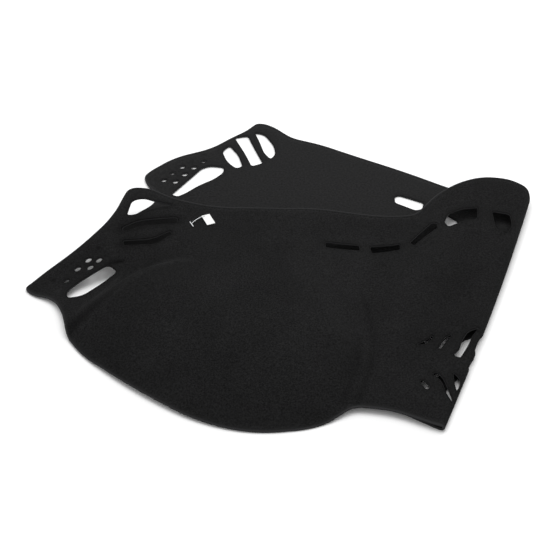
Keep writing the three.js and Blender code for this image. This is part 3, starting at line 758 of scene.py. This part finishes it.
def carpet_material():
    """Black needle-punched pile: fine clumps of fibre, brushed patches, almost no gloss."""
    material, nodes, links, shader = new_material("black_carpet")
    clumps = object_noise(nodes, links, scale=430.0, detail=4.0, roughness=0.7)
    fine = ramp(nodes, links, clumps.outputs["Fac"], 0.34, 0.66, PILE_TONES)
    patches = object_noise(nodes, links, scale=14.0, detail=3.0, roughness=0.6)
    brushed = ramp(nodes, links, patches.outputs["Fac"], 0.35, 0.70, BRUSHED_TONES)
    colour = nodes.new("ShaderNodeMix")
    colour.data_type = "RGBA"
    colour.blend_type = "MULTIPLY"
    colour.inputs["Factor"].default_value = 1.0
    links.new(fine.outputs["Color"], colour.inputs["A"])
    links.new(brushed.outputs["Color"], colour.inputs["B"])
    links.new(with_painted_light(nodes, links, colour.outputs["Result"]), shader.inputs["Base Color"])
    fibres = object_noise(nodes, links, scale=900.0, detail=3.0, roughness=0.75)
    add_bump(nodes, links, shader, fibres, strength=0.6, distance=0.0008)
    shader.inputs["Roughness"].default_value = 1.0
    shader.inputs["Specular IOR Level"].default_value = 0.05
    add_sheen(shader, weight=0.02, roughness=0.3)
    shader.inputs["Sheen Tint"].default_value = (0.9, 0.9, 0.92, 1)
    return material


def backing_material():
    """Back face: the same fibre pressed flat, a little smoother and greyer."""
    material, nodes, links, shader = new_material("pressed_backing")
    clumps = object_noise(nodes, links, scale=300.0, detail=3.0, roughness=0.55)
    colour = ramp(nodes, links, clumps.outputs["Fac"], 0.30, 0.72, BACKING_TONES)
    links.new(with_painted_light(nodes, links, colour.outputs["Color"]), shader.inputs["Base Color"])
    add_bump(nodes, links, shader, clumps, strength=0.25, distance=0.0005)
    shader.inputs["Roughness"].default_value = 0.95
    shader.inputs["Specular IOR Level"].default_value = 0.08
    add_sheen(shader, weight=0.02, roughness=0.4)
    return material


def card_material():
    """Smooth white card of the blank tag."""
    material, nodes, links, shader = new_material("tag_card")
    fibre = object_noise(nodes, links, scale=800.0, detail=2.0, roughness=0.5)
    colour = ramp(nodes, links, fibre.outputs["Fac"], 0.3, 0.7, CARD_TONES)
    links.new(colour.outputs["Color"], shader.inputs["Base Color"])
    shader.inputs["Roughness"].default_value = 0.45
    return material


def nylon_material():
    """Hazy nylon of the tag's pin."""
    material, nodes, links, shader = new_material("clear_nylon")
    haze = object_noise(nodes, links, scale=500.0, detail=2.0, roughness=0.5)
    colour = ramp(nodes, links, haze.outputs["Fac"], 0.3, 0.7, NYLON_TONES)
    links.new(colour.outputs["Color"], shader.inputs["Base Color"])
    shader.inputs["Roughness"].default_value = 0.25
    shader.inputs["Subsurface Weight"].default_value = 0.3
    shader.inputs["Subsurface Radius"].default_value = (0.002, 0.002, 0.002)
    return material


def floor_material():
    """Plain pale floor. The camera sees it white wherever nothing shades it."""
    material, nodes, links, shader = new_material("studio_floor")
    path = nodes.new("ShaderNodeLightPath")
    tone = ramp(nodes, links, path.outputs["Is Camera Ray"], 0.0, 1.0, FLOOR_TONES)
    links.new(tone.outputs["Color"], shader.inputs["Base Color"])
    shader.inputs["Roughness"].default_value = 1.0
    shader.inputs["Specular IOR Level"].default_value = 0.0
    return material


# Camera: the photograph looks down at 40 degrees, from 2.1 m, along +Y
CAMERA_DISTANCE = 2.1
CAMERA_ELEVATION = math.radians(40)
CAMERA_FOCAL_PIXELS = 1400
FRAME_PIXELS = 550
AIM = Vector((-0.01954, -0.07045, 0.0))
AIM_BELOW_CENTRE_PIXELS = 15
SENSOR_WIDTH_MM = 36.0
CAMERA_REACH = 20


def make_camera():
    data = bpy.data.cameras.new("camera")
    data.sensor_fit = "HORIZONTAL"
    data.sensor_width = SENSOR_WIDTH_MM
    data.lens = data.sensor_width * CAMERA_FOCAL_PIXELS / FRAME_PIXELS
    data.clip_end = CAMERA_REACH
    camera = bpy.data.objects.new("camera", data)
    away = Vector((0, -math.cos(CAMERA_ELEVATION), math.sin(CAMERA_ELEVATION)))
    camera.location = AIM + away * CAMERA_DISTANCE
    tilt_up = math.atan(AIM_BELOW_CENTRE_PIXELS / CAMERA_FOCAL_PIXELS)
    camera.rotation_euler = (math.pi / 2 - CAMERA_ELEVATION + tilt_up, 0, 0)
    bpy.context.scene.collection.objects.link(camera)
    bpy.context.scene.camera = camera


# Light of the white world on the mat. The camera sees the world itself as plain white.
WORLD_STRENGTH = 0.64

# Softboxes: name, place, the point that it faces, size in metres, power in watts
SOFTBOXES = (
    ("overhead_softbox", (0.0, 0.25, 1.9), (0, 0, 0), (1.8, 1.4), 20),
    ("back_softbox", (1.2, 2.0, 1.1), (0, 0.1, 0), (2.0, 0.9), 19),
)

# Floor, a little below the mat's lowest point so that the two faces never share a plane
FLOOR_HALF_WIDTH = 12.0
FLOOR_DROP = 0.0002


def area_light(name, location, target, size, power):
    data = bpy.data.lights.new(name, "AREA")
    data.shape = "RECTANGLE"
    data.size, data.size_y = size
    data.energy = power
    light = bpy.data.objects.new(name, data)
    light.location = location
    direction = Vector(target) - Vector(location)
    light.rotation_euler = direction.to_track_quat("-Z", "Y").to_euler()
    bpy.context.scene.collection.objects.link(light)


def make_world():
    """Soft white light from all round, seen white by the camera, in gloss and through clear nylon."""
    world = bpy.data.worlds.new("studio")
    bpy.context.scene.world = world
    world.use_nodes = True
    nodes = world.node_tree.nodes
    links = world.node_tree.links
    soft = nodes["Background"]
    soft.inputs["Color"].default_value = (1, 1, 1, 1)
    soft.inputs["Strength"].default_value = WORLD_STRENGTH
    seen = nodes.new("ShaderNodeBackground")
    seen.inputs["Strength"].default_value = 1.0
    path = nodes.new("ShaderNodeLightPath")
    mix = nodes.new("ShaderNodeMixShader")
    seen_ray = path.outputs["Is Camera Ray"]
    for kind in ("Is Glossy Ray", "Is Transmission Ray"):
        either = nodes.new("ShaderNodeMath")
        either.operation = "MAXIMUM"
        links.new(seen_ray, either.inputs[0])
        links.new(path.outputs[kind], either.inputs[1])
        seen_ray = either.outputs["Value"]
    links.new(seen_ray, mix.inputs["Fac"])
    links.new(soft.outputs["Background"], mix.inputs[1])
    links.new(seen.outputs["Background"], mix.inputs[2])
    links.new(mix.outputs["Shader"], nodes["World Output"].inputs["Surface"])


def make_floor():
    mesh = bpy.data.meshes.new("studio_floor")
    half = FLOOR_HALF_WIDTH
    corners = [(-half, -half, 0), (half, -half, 0), (half, half, 0), (-half, half, 0)]
    mesh.from_pydata(corners, [], [(0, 1, 2, 3)])
    mesh.materials.append(floor_material())
    floor = bpy.data.objects.new("studio_floor", mesh)
    floor.location.z = -FLOOR_DROP
    bpy.context.scene.collection.objects.link(floor)
    return floor


make_camera()
make_world()
for softbox in SOFTBOXES:
    area_light(*softbox)
studio_floor = make_floor()
bpy.context.scene.view_settings.view_transform = "Standard"

mat = make_mat()
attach(mat, "root")
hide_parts("dash_mat")

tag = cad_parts["tag"]
tag.data.materials.clear()
tag.data.materials.append(card_material())
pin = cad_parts["tag_pin"]
pin.data.materials.clear()
pin.data.materials.append(nylon_material())
